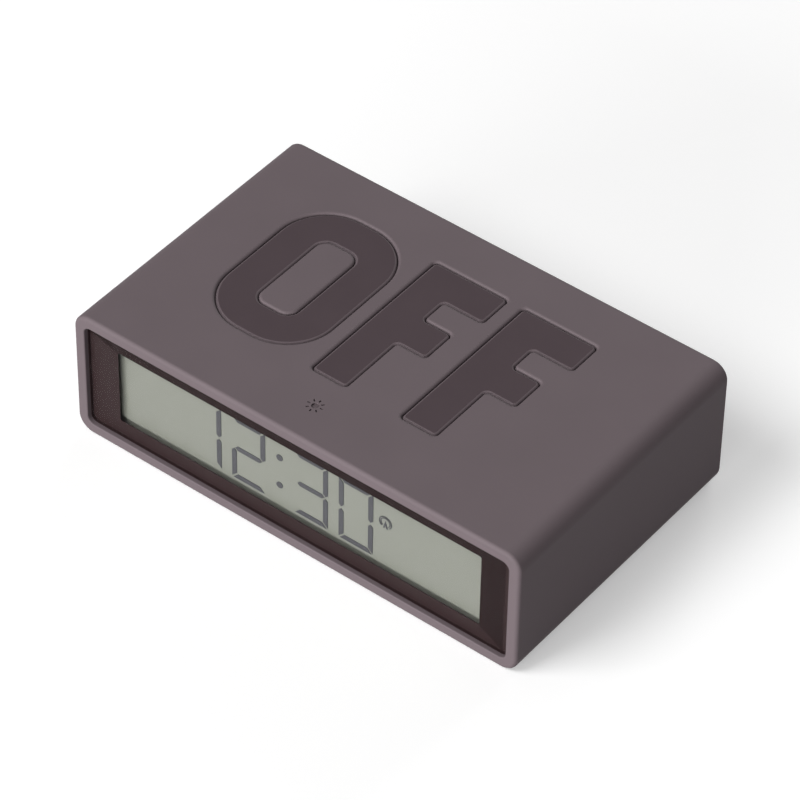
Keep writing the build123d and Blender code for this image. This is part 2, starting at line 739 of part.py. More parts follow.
def screw_boss(sx, sz):
    """A corner post that the rear panel is screwed to."""
    x = sx * PANEL_SCREW_X
    rise = sz * PANEL_SCREW_RISE
    post = plate(Pos(x, rise) * Circle(BOSS_R), PANEL_FRONT - BOSS_L, PANEL_FRONT)
    x_range = sorted((x, sx * (BAY_W / 2 + CHASSIS_WALL / 2)))
    rise_range = sorted((rise, sz * (BAY_H / 2 + CHASSIS_WALL / 2)))
    return post + block(x_range, (PANEL_FRONT - BOSS_L, RIB_FRONT), rise_range)


def battery_well():
    """The floor and end walls of the battery well."""
    rises = (-BAY_H / 2 - CHASSIS_WALL / 2, BAY_H / 2 + CHASSIS_WALL / 2)
    wall_rises = (-BAY_H / 2, BAY_H / 2)
    left = WELL_LEFT - WELL_WALL
    right = WELL_RIGHT + WELL_WALL
    well = block((left, right), (WELL_FRONT, WELL_FLOOR), rises)
    for x_range in ((left, WELL_LEFT), (WELL_RIGHT, right)):
        well += block(x_range, (WELL_FRONT, RIB_FRONT), rises)
        well += block(x_range, (WELL_FRONT, PANEL_FRONT - DOOR_REST), wall_rises)
    return well


def contact_tab(rise, spare):
    """A solder tab that runs forward through the floor of the well."""
    x_range = (WELL_RIGHT - CONTACT_T - spare, WELL_RIGHT)
    return block(x_range, (TAB_END, WELL_FLOOR), (rise - TAB_W / 2 - spare, rise + TAB_W / 2 + spare))


def inner_chassis():
    """The frame inside the sleeve, which carries the board, the antenna and the cells."""
    body = plate(RectangleRounded(FRAME_W, FRAME_H, FRAME_RADIUS), BOARD_BACK, RIB_FRONT)
    body -= plate(Rectangle(BAY_W, BAY_H), FLANGE_BACK, RIB_FRONT + OVERRUN)
    opening = Rectangle(FRAME_W - 2 * FLANGE_SIDE, FRAME_H - 2 * FLANGE_EDGE)
    body -= plate(opening, BOARD_BACK - OVERRUN, FLANGE_BACK + OVERRUN)
    body += battery_well()
    for sx, sz in CORNERS:
        body += screw_boss(sx, sz)
    for side in (-1, 1):
        body += antenna_cradle(side)
        body -= contact_tab(side * CELL_RISE, TAB_GAP)
    for place in frame_screw_places():
        hole = Circle(FRAME_SHANK_R + SCREW_GAP)
        body -= plate(Pos(*place) * hole, BOARD_BACK - OVERRUN, FLANGE_BACK + OVERRUN)
    for place in panel_screw_places():
        pilot = Circle(PANEL_SHANK_R + SCREW_GAP)
        body -= plate(Pos(*place) * pilot, PANEL_FRONT - PANEL_BITE - PILOT_SPARE, PANEL_FRONT + OVERRUN)
    recess = touch_electrode(SEAT_GAP)
    return body - recess - turned_over(Pos(2 * SIGN_X, 0, 0) * recess)


def screw(place, seat, way, head_r, head_t, shank_r, shank_l):
    """A pan-head screw on a seat at one depth. Its head is on the side that way points to."""
    head_end = seat + way * head_t
    head = plate(Pos(*place) * Circle(head_r), seat, head_end)
    shank = plate(Pos(*place) * Circle(shank_r), seat, seat - way * shank_l)
    cross_l = 2 * head_r * cross_length_share
    cross = Rectangle(cross_l, CROSS_W) + Rectangle(CROSS_W, cross_l)
    drive = plate(Pos(*place) * cross, head_end - way * CROSS_DEPTH, head_end + way * OVERRUN)
    return head + shank - drive


def frame_screws():
    """Four screws that clamp the chassis and the board to the bezel."""
    length = FLANGE_T + BOARD_T + FRAME_BITE
    return Compound(children=[
        screw(place, FLANGE_BACK, 1, FRAME_HEAD_R, FRAME_HEAD_T, FRAME_SHANK_R, length)
        for place in frame_screw_places()
    ])


def panel_screws():
    """Four screws that draw the rear panel and the chassis together on the sleeve's rib."""
    seat = PANEL_BACK - PANEL_HEAD_DEPTH
    length = seat - PANEL_FRONT + PANEL_BITE
    return Compound(children=[
        screw(place, seat, 1, PANEL_HEAD_R, PANEL_HEAD_T, PANEL_SHANK_R, length)
        for place in panel_screw_places()
    ])


def battery(side):
    """One AAA cell. The upper one points to +X and the lower one to -X."""
    rise = side * CELL_RISE
    end = WELL_RIGHT - CONTACT_T - CELL_PLAY if side > 0 else WELL_LEFT + CONTACT_T + CELL_PLAY
    shoulder = end - side * NUB_L
    base = end - side * CELL_L
    can = bar_x(CELL_D / 2, min(base, shoulder), max(base, shoulder), CELL_Y, rise)
    can = fillet(can.edges().filter_by(GeomType.CIRCLE), CELL_EDGE)
    return can + bar_x(NUB_D / 2, min(shoulder, end), max(shoulder, end), CELL_Y, rise)


def contact_plate(wall_x, way, rise_range):
    """A flat contact on an end wall of the well. It faces the way given."""
    x_range = sorted((wall_x, wall_x + way * CONTACT_T))
    return block(x_range, (WELL_FLOOR, CELL_Y + CONTACT_H / 2), rise_range)


def contact_leaf(wall_x, way, rise):
    """A bowed leaf that presses on the flat end of a cell."""
    face = wall_x + way * CONTACT_T
    crest = wall_x + way * (CONTACT_T + LEAF_REACH)
    low = CELL_Y - LEAF_SPAN / 2
    high = CELL_Y + LEAF_SPAN / 2
    inner_crest = crest - way * CONTACT_T
    outer = ThreePointArc((face, low), (crest, CELL_Y), (face, high))
    inner = ThreePointArc((face, low + CONTACT_T), (inner_crest, CELL_Y), (face, high - CONTACT_T))
    ends = Line(outer @ 0, inner @ 0) + Line(outer @ 1, inner @ 1)
    bow = make_face(outer + inner + ends)
    return extrude(Pos(0, 0, MID_Z + rise - LEAF_W / 2) * bow, amount=LEAF_W)


def row_range(side):
    return (side * CELL_RISE - CONTACT_H / 2, side * CELL_RISE + CONTACT_H / 2)


def battery_link_contact():
    """The contact that joins the two cells in a row, at the left end of the well."""
    link = contact_plate(WELL_LEFT, 1, (row_range(-1)[0], row_range(1)[1]))
    return link + contact_leaf(WELL_LEFT, 1, CELL_RISE)


def battery_positive_contact():
    return contact_plate(WELL_RIGHT, -1, row_range(1)) + contact_tab(CELL_RISE, 0)


def battery_negative_contact():
    contact = contact_plate(WELL_RIGHT, -1, row_range(-1)) + contact_tab(-CELL_RISE, 0)
    return contact + contact_leaf(WELL_RIGHT, -1, -CELL_RISE)


def bend_radii(points):
    """The radius at each inner point of a route, as large as its two runs allow."""
    radii = []
    for before, here, after in zip(points, points[1:], points[2:]):
        runs = (here - before, after - here)
        turn = math.radians(runs[0].get_angle(runs[1]))
        radii.append(BEND_SHARE * min(run.length for run in runs) / math.tan(turn / 2))
    return radii


def battery_lead(side):
    """An insulated wire from a contact's tab to the main board."""
    start = Vector(WELL_RIGHT - CONTACT_T / 2, TAB_END, MID_Z + side * CELL_RISE)
    end = Vector(LEAD_X, BOARD_BACK, MID_Z + side * LEAD_RISE)
    points = []
    for run, shift in zip(lead_run_shares, lead_shift_shares):
        y = start.Y + run * (end.Y - start.Y)
        z = start.Z + shift * (end.Z - start.Z)
        points.append(Vector(start.X + shift * (end.X - start.X), y, z))
    path = FilletPolyline(*points, radius=bend_radii(points))
    return sweep(Plane(origin=path @ 0, z_dir=path % 0) * Circle(LEAD_R), path=path)


def sound_hole_places():
    ring = [
        (SOUND_RING_R * math.cos(turn), SOUND_RING_R * math.sin(turn))
        for turn in (2 * math.pi * i / SOUND_HOLE_COUNT for i in range(SOUND_HOLE_COUNT))
    ]
    return [(BUZZER_X + x, rise) for x, rise in [(0, 0)] + ring]


def key_places():
    """The four keys' places by name, in two columns and two rows."""
    near, far = KEY_COLUMNS
    return {
        "key_up": (near, KEY_RISE),
        "key_down": (near, -KEY_RISE),
        "key_time": (far, KEY_RISE),
        "key_alarm": (far, -KEY_RISE),
    }


def post_places():
    return [(KEY_BOARD_X + side * POST_REACH, 0) for side in (-1, 1)]


def buzzer_seat():
    """The ring on the rear panel that the buzzer is glued into."""
    seat_end = PANEL_FRONT - BUZZER_STANDOFF
    lip_end = seat_end - BUZZER_LIP
    recess_r = BUZZER_R + BUZZER_PLAY
    ring = plate(Pos(BUZZER_X, 0) * Circle(recess_r + BUZZER_SHELF), lip_end, PANEL_FRONT)
    ring -= plate(Pos(BUZZER_X, 0) * Circle(BUZZER_R - BUZZER_SHELF), lip_end - OVERRUN, PANEL_FRONT)
    return ring - plate(Pos(BUZZER_X, 0) * Circle(recess_r), lip_end - OVERRUN, seat_end)


def door_opening():
    middle = (DOOR_LEFT + DOOR_RIGHT) / 2
    return Pos(middle, 0) * Rectangle(DOOR_RIGHT - DOOR_LEFT, DOOR_H)


def hinge_pins(radius, spare):
    """A stub at each end of the door's hinge line."""
    foot = DOOR_H / 2 - DOOR_GAP - PANEL_T / 2
    tip = DOOR_H / 2 + PIN_REACH + spare
    return bar_z(radius, HINGE_X, HINGE_Y, foot, tip) + bar_z(radius, HINGE_X, HINGE_Y, -tip, -foot)


def rear_panel():
    """The plate that closes the back of the sleeve."""
    outline = RectangleRounded(LENS_W, LENS_H, LENS_RADIUS) - door_opening()
    for place in key_places().values():
        outline -= Pos(*place) * Circle(KEY_R + KEY_GAP)
    for place in sound_hole_places():
        outline -= Pos(*place) * Circle(SOUND_HOLE_R)
    panel = plate(outline, PANEL_FRONT, PANEL_BACK) + buzzer_seat()
    for place in panel_screw_places():
        panel -= plate(Pos(*place) * Circle(PANEL_SHANK_R + SCREW_GAP), PANEL_FRONT - OVERRUN, PANEL_BACK)
        head = Circle(PANEL_HEAD_R + HEAD_GAP)
        panel -= plate(Pos(*place) * head, PANEL_BACK - PANEL_HEAD_DEPTH, PANEL_BACK + OVERRUN)
    for place in post_places():
        panel += plate(Pos(*place) * Circle(POST_R), KEY_BOARD_BACK, PANEL_FRONT + HAIR)
        pilot = Circle(KEY_SHANK_R + SCREW_GAP)
        panel -= plate(Pos(*place) * pilot, KEY_BOARD_BACK - OVERRUN, KEY_BOARD_BACK + KEY_BITE + PILOT_SPARE)
    return panel - hinge_pins(PIN_R + PIN_GAP, PIN_GAP)


def battery_door():
    """The hinged cover of the battery well, with a springy tongue to lift it by."""
    right = DOOR_RIGHT - DOOR_GAP
    half = DOOR_H / 2 - DOOR_GAP
    door = block((HINGE_X, right), (PANEL_FRONT, PANEL_BACK), (-half, half))
    door += bar_z(PANEL_T / 2, HINGE_X, HINGE_Y, -half, half)
    door += hinge_pins(PIN_R, 0)
    tongue_left = right - TONGUE_L
    through = (PANEL_FRONT - OVERRUN, PANEL_BACK + OVERRUN)
    for side in (-1, 1):
        inner = side * TONGUE_W / 2
        slot = sorted((inner, inner + side * TONGUE_SLOT))
        door -= block((tongue_left, right + OVERRUN), through, slot)
    reach = TONGUE_W / 2 - GRIP_PITCH
    grip_depths = (PANEL_BACK - HAIR, PANEL_BACK + GRIP_H)
    for i in range(GRIP_COUNT):
        x = right - (i + 1) * GRIP_PITCH
        door += block((x - GRIP_W / 2, x + GRIP_W / 2), grip_depths, (-reach, reach))
    return door


def arrow_sign(way):
    """A triangle that points up or down."""
    half = KEY_SIGN_R * math.cos(math.radians(30))
    base = -way * KEY_SIGN_R / 2
    return make_face(Polyline((-half, base), (half, base), (0, way * KEY_SIGN_R), close=True))


def dial_sign():
    """A ring with two hands."""
    ring = Circle(KEY_SIGN_R) - Circle(KEY_SIGN_R - KEY_SIGN_W)
    hand_l = KEY_SIGN_R - KEY_SIGN_W
    upright = Pos(0, hand_l / 2 - KEY_SIGN_W / 2) * Rectangle(KEY_SIGN_W, hand_l - KEY_SIGN_W)
    level = Pos(-hand_l / 3, 0) * Rectangle(hand_l - KEY_SIGN_W, KEY_SIGN_W)
    return ring + upright + level


def bell_sign():
    """A dome on a bar, with a clapper under it."""
    dome_r = KEY_SIGN_R - KEY_SIGN_W
    dome = Circle(dome_r) - Pos(0, -dome_r / 2) * Rectangle(2 * dome_r, dome_r)
    skirt = Pos(0, -KEY_SIGN_W / 2) * Rectangle(2 * dome_r, KEY_SIGN_W)
    clapper = Pos(0, -2 * KEY_SIGN_W - KEY_SIGN_W / 2) * Circle(KEY_SIGN_W)
    return dome + skirt + clapper


def key(place, sign):
    """A round key that a flange keeps behind the rear panel."""
    top = PANEL_BACK + KEY_PROUD
    cap = plate(Circle(KEY_R), KEY_FLANGE_FRONT, top)
    cap = fillet(cap.faces().sort_by(Axis.Y)[-1].edges(), KEY_EDGE)
    cap += plate(Circle(KEY_R + KEY_FLANGE_W), KEY_FLANGE_FRONT, KEY_FLANGE_BACK)
    cap += plate(Circle(KEY_STEM_R), KEY_STEM_END, KEY_FLANGE_FRONT + HAIR)
    cap -= plate(sign, top - KEY_SIGN_DEPTH, top + OVERRUN)
    return Pos(place[0], 0, place[1]) * cap


def key_board():
    board = Pos(KEY_BOARD_X, 0) * Rectangle(KEY_BOARD_W, KEY_BOARD_H)
    for place in post_places():
        board -= Pos(*place) * Circle(KEY_SHANK_R + SCREW_GAP)
    return plate(board, KEY_BOARD_FRONT, KEY_BOARD_BACK)


def snap_domes():
    """A snap dome on the key board under each key."""
    domes = []
    for place in key_places().values():
        dome = plate(Pos(*place) * Circle(DOME_R), KEY_BOARD_BACK, DOME_BACK)
        domes.append(fillet(dome.faces().sort_by(Axis.Y)[-1].edges(), DOME_EDGE))
    return Compound(children=domes)


def key_board_screws():
    """Two screws that hold the key board to the posts of the rear panel."""
    length = KEY_BOARD_T + KEY_BITE
    return Compound(children=[
        screw(place, KEY_BOARD_FRONT, -1, KEY_HEAD_R, KEY_HEAD_T, KEY_SHANK_R, length)
        for place in post_places()
    ])


RIBBON_START = BOARD_BACK + PLUG_DEPTH
RIBBON_END = KEY_BOARD_FRONT - PLUG_DEPTH


def ribbon_cable():
    """The flat cable from the main board to the key board."""
    points = []
    for run, shift in zip(ribbon_run_shares, ribbon_shift_shares):
        y = RIBBON_START + run * (RIBBON_END - RIBBON_START)
        points.append(Vector(KEY_BOARD_X, y, MID_Z - RIBBON_DROP + shift * RIBBON_LIFT))
    path = FilletPolyline(*points, radius=bend_radii(points))
    start = Plane(origin=path @ 0, x_dir=(1, 0, 0), z_dir=path % 0)
    return sweep(start * Rectangle(RIBBON_W, RIBBON_T), path=path)


def ribbon_connectors():
    """A connector on each board at the ends of the ribbon."""
    shell = Rectangle(RIBBON_W + 2 * PLUG_MARGIN, PLUG_H)
    main_end = Pos(KEY_BOARD_X, -RIBBON_DROP) * shell
    key_end = Pos(KEY_BOARD_X, -RIBBON_DROP + RIBBON_LIFT) * shell
    return Compound(children=[
        plate(main_end, BOARD_BACK, RIBBON_START),
        plate(key_end, RIBBON_END, KEY_BOARD_FRONT),
    ])


def buzzer_plate():
    seat = PANEL_FRONT - BUZZER_STANDOFF
    return plate(Pos(BUZZER_X, 0) * Circle(BUZZER_R), seat - BUZZER_T, seat)


def buzzer_ceramic():
    face = PANEL_FRONT - BUZZER_STANDOFF - BUZZER_T
    return plate(Pos(BUZZER_X, 0) * Circle(CERAMIC_R), face - CERAMIC_T, face)


def build():
    """Every piece of the clock, by name."""
    off_inlays = [inlay(letter) for letter in off_legend()]
    on_inlays = [turned_over(inlay(letter)) for letter in on_legend()]
    electrode = touch_electrode(0)
    places = key_places()
    return {
        "outer_sleeve": outer_sleeve(),
        "top_inlay_o": off_inlays[0],
        "top_inlay_f_left": off_inlays[1],
        "top_inlay_f_right": off_inlays[2],
        "bottom_inlay_o": on_inlays[0],
        "bottom_inlay_n": on_inlays[1],
        "front_lens": front_lens(),
        "lens_mask": lens_mask(),
        "display_bezel": display_bezel(),
        "lcd_front_polariser": panel_sheet(POLARISER_MARGIN, LCD_FRONT, POLARISER_T),
        "lcd_front_glass": lcd_front_glass(),
        "lcd_seal": lcd_seal(),
        "lcd_segments": lcd_segments(),
        "lcd_rear_glass": panel_sheet(0, REAR_GLASS_FRONT, GLASS_T),
        "lcd_rear_polariser": panel_sheet(POLARISER_MARGIN, REAR_FILM_FRONT, POLARISER_T),
        "light_guide": light_guide_sheet(GUIDE_FRONT, GUIDE_T),
        "backlight_reflector": light_guide_sheet(REFLECTOR_FRONT, REFLECTOR_T),
        "backlight_leds": backlight_leds(),
        "zebra_strip": zebra_strip(),
        "main_board": main_board(),
        "controller_chip": controller_chip(),
        "quartz_crystal": quartz_crystal(),
        "tilt_switch_can": tilt_switch_can(),
        "tilt_switch_plug": tilt_switch_plug(),
        "tilt_ball": tilt_ball(),
        "antenna_rod": antenna_rod(),
        "antenna_coil": antenna_coil(),
        "touch_electrode_top": electrode,
        "touch_electrode_bottom": turned_over(Pos(2 * SIGN_X, 0, 0) * electrode),
        "inner_chassis": inner_chassis(),
        "frame_screws": frame_screws(),
        "battery_upper": battery(1),
        "battery_lower": battery(-1),
        "battery_link_contact": battery_link_contact(),
        "battery_positive_contact": battery_positive_contact(),
        "battery_negative_contact": battery_negative_contact(),
        "battery_lead_positive": battery_lead(1),
        "battery_lead_negative": battery_lead(-1),
        "rear_panel": rear_panel(),
        "panel_screws": panel_screws(),
        "battery_door": battery_door(),
        "key_up": key(places["key_up"], arrow_sign(1)),
        "key_down": key(places["key_down"], arrow_sign(-1)),
        "key_time": key(places["key_time"], dial_sign()),
        "key_alarm": key(places["key_alarm"], bell_sign()),
        "key_board": key_board(),
        "snap_domes": snap_domes(),
        "key_board_screws": key_board_screws(),
        "ribbon_cable": ribbon_cable(),
        "ribbon_connectors": ribbon_connectors(),
        "buzzer_plate": buzzer_plate(),
        "buzzer_ceramic": buzzer_ceramic(),
    }


os.makedirs("parts", exist_ok=True)
for name, shape in build().items():
    export_step(shape, f"parts/{name}.step")
print("case", WIDTH, DEPTH, HEIGHT)
print("hinge line", HINGE_X, HINGE_Y, "ball travel", BALL_TRAVEL, "key travel", KEY_TRAVEL)
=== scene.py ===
import bpy
import json
import math
from mathutils import Matrix, Vector


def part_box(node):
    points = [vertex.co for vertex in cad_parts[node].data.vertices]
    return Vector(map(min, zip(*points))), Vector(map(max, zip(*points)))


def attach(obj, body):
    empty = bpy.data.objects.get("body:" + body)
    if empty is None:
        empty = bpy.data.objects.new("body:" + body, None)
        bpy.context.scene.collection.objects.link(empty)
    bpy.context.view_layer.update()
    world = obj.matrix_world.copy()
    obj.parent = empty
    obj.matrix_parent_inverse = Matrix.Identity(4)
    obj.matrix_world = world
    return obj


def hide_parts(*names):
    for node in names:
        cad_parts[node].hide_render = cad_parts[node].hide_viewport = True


# A reversible desk alarm clock. Metres, +Z up, display facing -Y.

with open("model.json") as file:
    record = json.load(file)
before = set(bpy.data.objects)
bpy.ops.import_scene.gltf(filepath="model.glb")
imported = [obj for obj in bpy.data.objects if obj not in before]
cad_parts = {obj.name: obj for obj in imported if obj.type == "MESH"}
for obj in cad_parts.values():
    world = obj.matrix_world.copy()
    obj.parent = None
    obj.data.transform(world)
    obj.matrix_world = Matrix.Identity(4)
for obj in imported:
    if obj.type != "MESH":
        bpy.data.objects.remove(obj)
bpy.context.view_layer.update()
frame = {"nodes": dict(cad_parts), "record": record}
nodes = frame["nodes"]
slot_of = {part["node"]: part["material_slot"] for part in frame["record"]["subparts"]}

MM = 0.001

# Camera. The focal length and the sensor are in millimetres
CAMERA_AZIMUTH = math.radians(37.181)
CAMERA_ELEVATION = math.radians(43.679)
CAMERA_ROLL = math.radians(1.083)
CAMERA_DISTANCE = 845.4 * MM
CAMERA_TARGET = Vector((0.30, 0.0, 14.12)) * MM
FOCAL_LENGTH = 201.1
SENSOR_WIDTH = 36.0
NEAREST_SEEN = 0.05
FARTHEST_SEEN = 20.0

# Surroundings and floor
WORLD_LEVEL = 0.15
FLOOR_SIZE = 6.0
FLOOR_DROP = 0.02 * MM
FLOOR_BOUNCE = 0.10
FLOOR_DIFFUSE = 0.80
FLOOR_GLOW = 0.34

# Panel lamps: name, way from the clock, width, height and power in watts
LAMP_DISTANCE = 2.0
LAMPS = (
    ("key_panel", (-0.328, -0.568, 0.755), 1.0, 1.0, 27.1),
    ("front_panel", (0.052, -0.986, 0.156), 2.4, 0.62, 48.4),
    ("rear_panel", (-0.145, 0.916, 0.375), 1.2, 0.8, 13.2),
)

# The range in which most values of a noise lie
NOISE_LOW = 0.3
NOISE_HIGH = 0.7

# How square to its axis, from 0 to 1, a surface is where its print starts and where it is full
PRINT_STARTS = 0.955
PRINT_FULL = 0.985

# How uneven a coat of print or paint is, and how wide its clouds are
COAT_MOTTLE = 0.03
COAT_CLOUD = 9 * MM

# How far the signs are sunk into the keys
SIGN_DEPTH = 0.2 * MM

# The small bevel along the edges of the display's laminate
PANEL_BEVEL = 0.08 * MM

WHITE = (1.0, 1.0, 1.0, 1.0)
BLACK = (0.0, 0.0, 0.0, 1.0)


def linear(level):
    """One sRGB channel, 0 to 255, as linear light."""
    share = level / 255
    return share / 12.92 if share <= 0.04045 else ((share + 0.055) / 1.055) ** 2.4


def colour(red, green, blue):
    return (linear(red), linear(green), linear(blue), 1.0)


def shade(tone, share):
    return tuple(share * channel for channel in tone[:3]) + (1.0,)


SHELL_TONE = colour(106, 95, 99)
LETTER_PRINT_TONE = colour(80, 69, 73)
KEY_TONE = colour(70, 62, 66)
KEY_PAINT_TONE = colour(172, 166, 168)
CELL_END_TONE = colour(196, 196, 198)
CELL_WRAP_TONE = colour(150, 152, 154)
CELL_BAND_TONE = colour(64, 66, 72)


def blank_material(name):
    """A material with only an output and a Principled shader."""
    material = bpy.data.materials.new(name)
    material.use_nodes = True
    tree = material.node_tree
    tree.nodes.clear()
    output = tree.nodes.new("ShaderNodeOutputMaterial")
    shader = tree.nodes.new("ShaderNodeBsdfPrincipled")
    tree.links.new(shader.outputs["BSDF"], output.inputs["Surface"])
    return material, tree, shader


def shader_of(material):
    return next(n for n in material.node_tree.nodes if n.type == "BSDF_PRINCIPLED")


def coordinate(tree, kind, axis):
    """The X, Y or Z of one kind of texture coordinate."""
    place = tree.nodes.new("ShaderNodeTexCoord")
    split = tree.nodes.new("ShaderNodeSeparateXYZ")
    tree.links.new(place.outputs[kind], split.inputs["Vector"])
    return split.outputs[axis]


def noise(tree, size, stretch=(1.0, 1.0, 1.0)):
    """A noise texture in object space whose marks are about size metres across."""
    place = tree.nodes.new("ShaderNodeTexCoord")
    mapping = tree.nodes.new("ShaderNodeMapping")
    mapping.inputs["Scale"].default_value = stretch
    texture = tree.nodes.new("ShaderNodeTexNoise")
    texture.inputs["Scale"].default_value = 1 / size
    texture.inputs["Detail"].default_value = 3.0
    tree.links.new(place.outputs["Object"], mapping.inputs["Vector"])
    tree.links.new(mapping.outputs["Vector"], texture.inputs["Vector"])
    return texture.outputs["Fac"]


def calculated(tree, operation, *values):
    """The outcome of a sum on one or two values."""
    node = tree.nodes.new("ShaderNodeMath")
    node.operation = operation
    for socket, value in zip(node.inputs, values):
        tree.links.new(value, socket)
    return node.outputs["Value"]


def ranged(tree, value, from_low, from_high, to_low=0.0, to_high=1.0):
    """Value, moved from one range to another and kept inside it."""
    node = tree.nodes.new("ShaderNodeMapRange")
    node.inputs["From Min"].default_value = from_low
    node.inputs["From Max"].default_value = from_high
    node.inputs["To Min"].default_value = to_low
    node.inputs["To Max"].default_value = to_high
    tree.links.new(value, node.inputs["Value"])
    return node.outputs["Result"]


def ramp(tree, value, stops):
    """A colour ramp over value. Stops are pairs of position and colour."""
    node = tree.nodes.new("ShaderNodeValToRGB")
    elements = node.color_ramp.elements
    while len(elements) < len(stops):
        elements.new(0.5)
    for element, (position, tone) in zip(elements, stops):
        element.position = position
        element.color = tone
    tree.links.new(value, node.inputs["Fac"])
    return node.outputs["Color"]


def clouded(tree, cloud, tone, change):
    """The tone, darker to paler by the change along with a noise."""
    return ramp(tree, cloud, ((NOISE_LOW, shade(tone, 1 - change)), (NOISE_HIGH, shade(tone, 1 + change))))


def bump(tree, shader, value, depth):
    node = tree.nodes.new("ShaderNodeBump")
    node.inputs["Strength"].default_value = 1.0
    node.inputs["Distance"].default_value = depth
    tree.links.new(value, node.inputs["Height"])
    tree.links.new(node.outputs["Normal"], shader.inputs["Normal"])


def surface(name, tone, rough, mottle=0.05, mottle_size=6 * MM, grain=0.12 * MM, depth=0.002 * MM,
            metal=0.0, specular=0.5, stretch=(1.0, 1.0, 1.0), uneven=0.08):
    """A moulded, printed or metal surface: slightly uneven tone and gloss, and a fine grain."""
    material, tree, shader = blank_material(name)
    cloud = noise(tree, mottle_size, stretch)
    tree.links.new(clouded(tree, cloud, tone, mottle), shader.inputs["Base Color"])
    gloss = ranged(tree, cloud, NOISE_LOW, NOISE_HIGH, rough * (1 - uneven), rough * (1 + uneven))
    tree.links.new(gloss, shader.inputs["Roughness"])
    shader.inputs["Metallic"].default_value = metal
    shader.inputs["Specular IOR Level"].default_value = specular
    bump(tree, shader, noise(tree, grain, stretch), depth)
    return material


def soft_touch(name, rough, depth, specular):
    """The even, mauve-grey plastic of the case and its letters."""
    return surface(name, SHELL_TONE, rough, mottle=0.025, mottle_size=14 * MM, grain=0.16 * MM,
                   depth=depth, specular=specular, uneven=0.02)


def painted(material, share, tone):
    """The material with a slightly uneven coat of the tone, as thick as the share, from 0 to 1, says."""
    tree = material.node_tree
    base = shader_of(material).inputs["Base Color"]
    coat = tree.nodes.new("ShaderNodeMix")
    coat.data_type = "RGBA"
    tree.links.new(share, coat.inputs["Factor"])
    tree.links.new(base.links[0].from_socket, coat.inputs["A"])
    tree.links.new(clouded(tree, noise(tree, COAT_CLOUD), tone, COAT_MOTTLE), coat.inputs["B"])
    tree.links.new(coat.outputs["Result"], base)
    return material


def facing(tree, axis):
    """1 where the surface lies square to the axis, and 0 on its rounded edges and sides."""
    either_way = calculated(tree, "ABSOLUTE", coordinate(tree, "Normal", axis))
    return ranged(tree, either_way, PRINT_STARTS, PRINT_FULL)


def printed_letter(name):
    """A letter in the tone of the case, with print on what lies level and bare rounded edges."""
    material = soft_touch(name, 0.55, 0.003 * MM, 0.06)
    return painted(material, facing(material.node_tree, "Z"), LETTER_PRINT_TONE)


def signed_key(name):
    """A key with paint in the floor of its sunk sign, which lies midway in the range of heights."""
    material = surface(name, KEY_TONE, 0.42, mottle=0.03)
    tree = material.node_tree
    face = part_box("key_up")[1].y
    height = ranged(tree, coordinate(tree, "Object", "Y"), face - 2 * SIGN_DEPTH, face)
    sunk = ramp(tree, height, ((0.2, BLACK), (0.3, WHITE), (0.7, WHITE), (0.8, BLACK)))
    filled = calculated(tree, "MULTIPLY", sunk, facing(tree, "Y"))
    return painted(material, filled, KEY_PAINT_TONE)


def clear_sheet(name, tone, alpha, rough=0.08):
    """A clear sheet that only tints and dulls what lies behind it a little."""
    material = surface(name, tone, rough, mottle=0.03, mottle_size=15 * MM, grain=2 * MM, depth=0.0005 * MM)
    shader_of(material).inputs["Alpha"].default_value = alpha
    return material


def glowing_glass(name, tone, reach):
    """The display's grey: light that enters its glass spreads sideways by about the reach."""
    material = surface(name, tone, 0.35, mottle=0.012, mottle_size=25 * MM, grain=0.4 * MM,
                       depth=0.0005 * MM, specular=0.3)
    shader = shader_of(material)
    shader.inputs["Subsurface Weight"].default_value = 1.0
    shader.inputs["Subsurface Radius"].default_value = (1.0, 1.0, 1.0)
    shader.inputs["Subsurface Scale"].default_value = reach
    return material


def cell_sleeve(name, way):
    """A cell's plain grey wrap, with a dark band near the end that points along way, and bare metal ends."""
    material, tree, shader = blank_material(name)
    start, end = (0.0, 1.0) if way > 0 else (1.0, 0.0)
    along = ranged(tree, coordinate(tree, "Generated", "X"), 0.0, 1.0, start, end)
    # Where each tone starts, as a share of the cell's length
    bands = ((0.0, CELL_END_TONE), (0.022, CELL_WRAP_TONE), (0.82, CELL_BAND_TONE), (0.9, CELL_WRAP_TONE),
             (0.955, CELL_END_TONE))
    tone = ramp(tree, along, bands)
    tone.node.color_ramp.interpolation = "CONSTANT"
    tree.links.new(tone, shader.inputs["Base Color"])
    gloss = ranged(tree, noise(tree, 4 * MM), NOISE_LOW, NOISE_HIGH, 0.3, 0.4)
    tree.links.new(gloss, shader.inputs["Roughness"])
    shader.inputs["Metallic"].default_value = 0.35
    bump(tree, shader, noise(tree, 0.8 * MM), 0.003 * MM)
    return material


